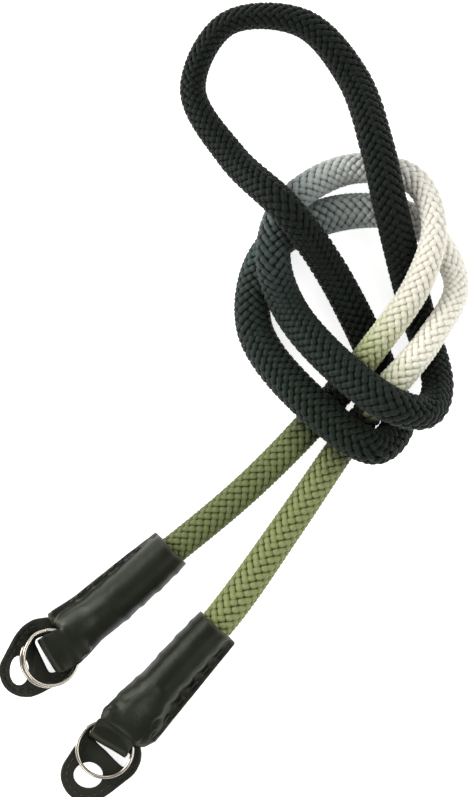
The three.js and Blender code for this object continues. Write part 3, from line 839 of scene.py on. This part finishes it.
def polished_steel():
    """Polished stainless steel: bright, a little warm, with faint scuffs about every 3 mm."""
    material = bpy.data.materials.new("polished_stainless_steel")
    material.use_nodes = True
    surface = material.node_tree.nodes["Principled BSDF"]
    where = add_node(material, "TexCoord").outputs["Object"]
    scuffs = add_node(material, "TexNoise", Vector=where, Scale=SCUFFS_PER_METRE, Detail=2.0)
    rough = add_node(material, "MapRange", Value=scuffs.outputs["Fac"], From_Min=0.3,
                     From_Max=0.75, To_Min=0.2, To_Max=0.23)
    material.node_tree.links.new(rough.outputs["Result"], surface.inputs["Roughness"])
    tone = set_ramp(add_node(material, "ValToRGB", Fac=scuffs.outputs["Fac"]),
                    [(0.35, "#b4ada0"), (0.7, "#b9b2a6")])
    material.node_tree.links.new(tone.outputs["Color"], surface.inputs["Base Color"])
    surface.inputs["Metallic"].default_value = 1.0
    return material


steel = polished_steel()
for side, end in ENDS.items():
    ring = split_ring(f"split_ring_{side}", end, RINGS[side])
    ring.data.materials.append(steel)
    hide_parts(f"ring_{side}")
    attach(ring, "root")


# Guards: two layers of thin black leather sewn together round the edge. Each lies under its ring,
# where it keeps the ring off the camera, with a round hole near the tip and a slot for the fold.

# Lengths in mm. place and turn: the middle of the heel's round and the way to the tip, in the end's
# frame. heel and tip: the radii of the two rounds. distance: from one's middle to the other's.
GUARDS = {
    "left": {"place": (-0.19, 2.03), "turn": 192.8, "heel": 10.5, "tip": 8.1, "distance": 7.9},
    "right": {"place": (-0.21, -1.73), "turn": 172.7, "heel": 9.75, "tip": 8.3, "distance": 9.0},
}
GUARD_VOXEL = 0.34 * MM
GUARD_EASING = 11

# The seam runs this far inside the edge, and round the heel up to this angle in radians. The pit
# is how deep and how wide a stitch presses. The thread is given as the sleeve's is.
SEAM_INSET = 1.9
HEEL_SEAM_END = 2.05
GUARD_PITCH = 2.2
GUARD_STITCH = 1.5
GUARD_PIT = (0.3, 0.55)
GUARD_THREAD = 0.3 * MM
GUARD_BULGE = 0.08 * MM
GUARD_SINK = 0.1 * MM


def guard_seam(guard, inset):
    """Points on the guard's outline moved in by the inset, in the end's frame: an arc round the
    tip, both sides, and arcs round the heel as far as the seam goes."""
    lean = np.arccos((guard["heel"] - guard["tip"]) / guard["distance"])
    tip_arc = np.linspace(-lean, lean, 60)
    tip = np.column_stack([guard["distance"] + (guard["tip"] - inset) * np.cos(tip_arc),
                           (guard["tip"] - inset) * np.sin(tip_arc)])
    heel_arc = np.linspace(lean, HEEL_SEAM_END, 30)
    heel = (guard["heel"] - inset) * np.column_stack([np.cos(heel_arc), np.sin(heel_arc)])
    line = np.vstack([heel[::-1] * [1, -1], tip, heel])
    turn = np.radians(guard["turn"])
    x, y = line[:, 0], line[:, 1]
    return np.column_stack([x * np.cos(turn) - y * np.sin(turn) + guard["place"][0],
                            x * np.sin(turn) + y * np.cos(turn) + guard["place"][1]])


def evenly(line, step, length):
    """Pairs of points a stitch long, at even steps along the line."""
    arc = np.append(0, np.cumsum(np.linalg.norm(np.diff(line, axis=0), axis=1)))
    start = np.arange(step / 2, arc[-1] - length, step)
    at = np.stack([start, start + length], axis=1)
    return np.stack([np.interp(at, arc, line[:, 0]), np.interp(at, arc, line[:, 1])], axis=-1)


def shape_guard(piece, end, stitches, seed):
    """Presses the guard's surface: a bell round the middle of each stitch, and faces that are a
    little uneven. The attribute "edge" marks the cut edge, which is less worn than the sleeve's."""
    points, normals = mesh_points(piece)
    local, middles = to_end(end, points), stitches.mean(axis=1)
    off = np.hypot(local[:, :1] - middles[:, 0], local[:, 1:2] - middles[:, 1]).min(axis=1)
    depth = 0.05 * uneven(points, 5, seed) - GUARD_PIT[0] * bump_at(off, 0, GUARD_PIT[1])
    press(piece, points, normals, depth)
    cut = np.abs(normals[:, 2]) < 0.6
    piece.data.attributes.new("edge", "FLOAT", "POINT").data.foreach_set(
        "value", cut.astype(np.float32) * 0.6)


guard_leather = waxed_leather("black_guard_cowhide", "#151612", "#1c1d18", 0.48)
for number, (side, end) in enumerate(ENDS.items()):
    stitches = evenly(guard_seam(GUARDS[side], SEAM_INSET), GUARD_PITCH, GUARD_STITCH)
    tab = soft_copy(f"guard_{side}", f"leather_guard_{side}", GUARD_VOXEL, GUARD_EASING)
    shape_guard(tab, end, stitches, 31 + number)
    tab.data.materials.append(guard_leather)
    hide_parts(f"guard_{side}")
    flat = np.concatenate([stitches, np.zeros(stitches.shape[:2] + (1,))], axis=-1)
    landed = drop_onto(tab, from_end(end, flat), GUARD_SINK)
    threads = thread_piece(f"guard_thread_{side}", landed, GUARD_THREAD, GUARD_BULGE)
    threads.data.materials.append(thread_material)
    for piece in (tab, threads):
        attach(piece, "root")


# Table and light: a plain white table, a little lit from itself, as a sheet of paper on a light box
# is. One large soft lamp stands above the left, three weaker ones fill in from the other sides, and
# the surrounding is even and white, as in a product photograph.
TABLE_SIZE = 3.0
TABLE_COLOUR = "#f4f4f4"
TABLE_GLOW = 0.75
SURROUNDING = 0.4
WHITE = (1.0, 1.0, 1.0, 1.0)
MIDDLE = (0.03, 0.08, 0.0)

# Each lamp's place in metres, the side of its square in metres and its power in watts.
LAMPS = {
    "key_lamp": ((-1.38, 0.66, 0.7), 1.1, 29.0),
    "low_left_lamp": ((-0.8, -0.9, 0.95), 0.8, 8.5),
    "right_lamp": ((1.2, -0.1, 1.0), 1.3, 13.0),
    "top_lamp": ((0.2, 1.4, 1.0), 1.2, 7.0),
}

table_mesh = bpy.data.meshes.new("table")
half = TABLE_SIZE / 2
table_mesh.from_pydata([(-half, -half, 0), (half, -half, 0), (half, half, 0), (-half, half, 0)],
                       [], [(0, 1, 2, 3)])
table = bpy.data.objects.new("table", table_mesh)
bpy.context.scene.collection.objects.link(table)
table_material = bpy.data.materials.new("white_paper")
table_material.use_nodes = True
paper = table_material.node_tree.nodes["Principled BSDF"]
paper.inputs["Base Color"].default_value = linear(TABLE_COLOUR)
paper.inputs["Roughness"].default_value = 0.9
paper.inputs["Emission Color"].default_value = WHITE
paper.inputs["Emission Strength"].default_value = TABLE_GLOW
table_mesh.materials.append(table_material)


def soft_lamp(name, place, target, size, power):
    """A square area lamp at a place, facing the target."""
    data = bpy.data.lights.new(name, "AREA")
    data.size = size
    data.energy = power
    lamp = bpy.data.objects.new(name, data)
    lamp.location = place
    toward = np.array(target, float) - np.array(place, float)
    flat = float(np.hypot(toward[0], toward[1]))
    lamp.rotation_euler = (float(np.arctan2(flat, -toward[2])), 0.0,
                           float(np.arctan2(toward[1], toward[0]) - np.pi / 2))
    bpy.context.scene.collection.objects.link(lamp)


for name, (place, size, power) in LAMPS.items():
    soft_lamp(name, place, MIDDLE, size, power)
world = bpy.data.worlds.new("studio")
world.use_nodes = True
background = world.node_tree.nodes["Background"]
background.inputs["Color"].default_value = WHITE
background.inputs["Strength"].default_value = SURROUNDING
bpy.context.scene.world = world
bpy.context.scene.view_settings.view_transform = "Standard"
